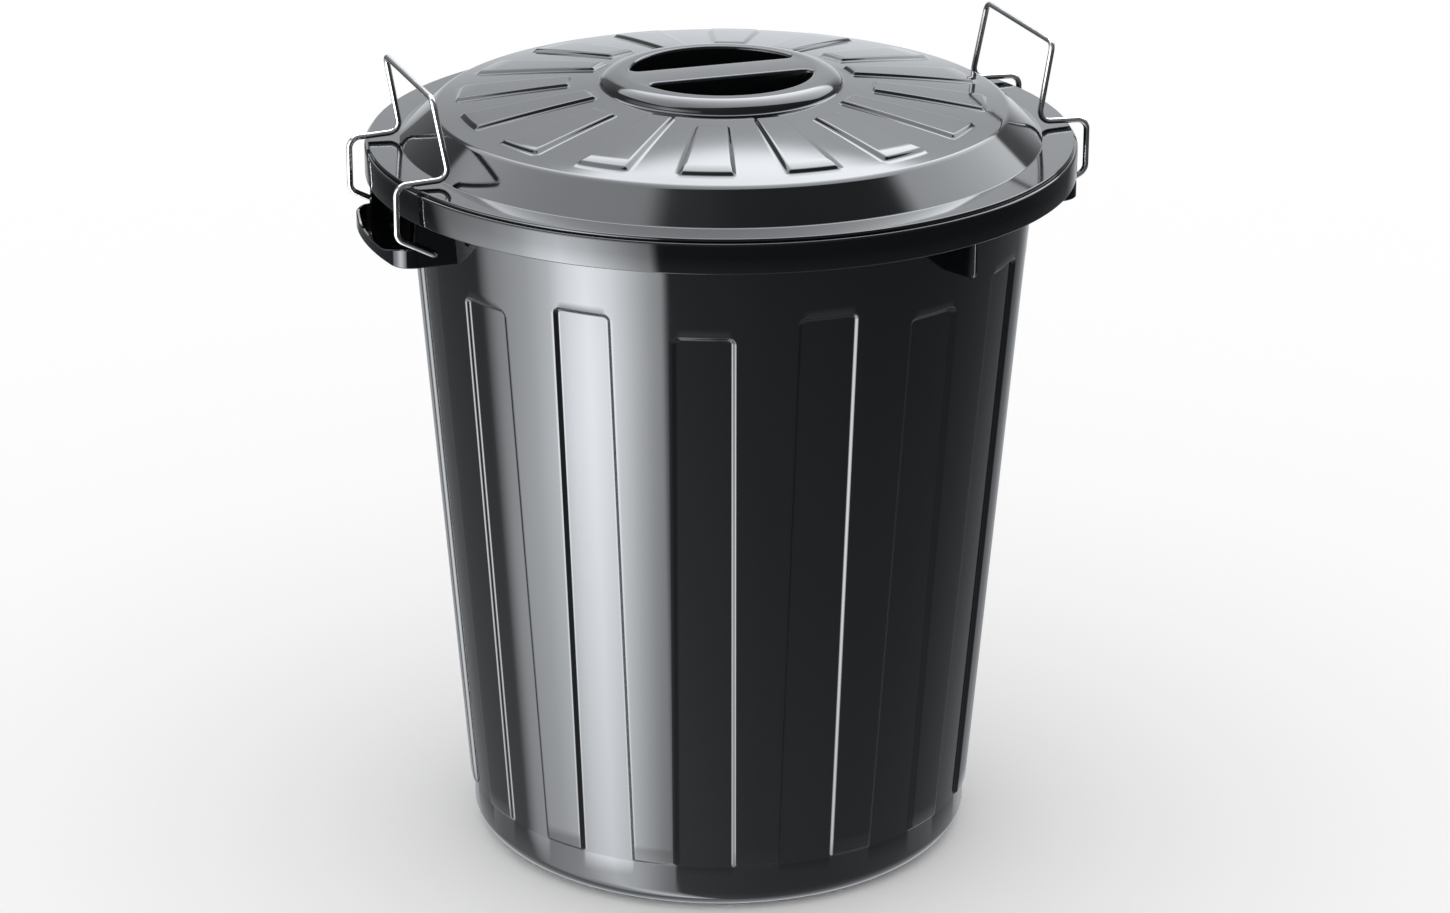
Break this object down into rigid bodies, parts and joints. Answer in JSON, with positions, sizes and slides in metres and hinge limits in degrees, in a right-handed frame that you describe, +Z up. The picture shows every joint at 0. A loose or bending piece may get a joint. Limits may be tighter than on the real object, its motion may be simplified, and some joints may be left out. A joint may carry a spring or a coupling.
{
  "type": "round lidded waste bin with wire clips",
  "caption": "Round tapered plastic bin with a fluted wall, a lift-off lid with a recessed handle, and hinged wire clips that hold the lid down.",
  "frame": {"origin": "centre of the base, on the ground", "axes": "+Z up, the two wire clips and hand grips on the X axis"},
  "size_m": [0.4652, 0.4516, 0.5253],
  "materials": {
    "tub_plastic": "gloss",
    "lid_plastic": "gloss",
    "clip_steel": "bright drawn wire"
  },
  "bodies": {
    "tub": {"tub": "tub_plastic"},
    "lid": {"lid": "lid_plastic"},
    "clip_right": {"clip_right": "clip_steel"},
    "clip_left": {"clip_left": "clip_steel"}
  },
  "joints": [
    {"name": "lid_lift", "type": "slide", "parent": "tub", "child": "lid", "axis": [0, 0, 1], "range_m": [0, 0.45]},
    {"name": "clip_right_swing", "type": "hinge", "parent": "tub", "child": "clip_right", "pos_m": [0.20384, 0, 0.4246], "axis": [0, 1, 0], "range_deg": [0, 140]},
    {"name": "clip_left_swing", "type": "hinge", "parent": "tub", "child": "clip_left", "pos_m": [-0.20384, 0, 0.4246], "axis": [0, -1, 0], "range_deg": [0, 140]}
  ]
}
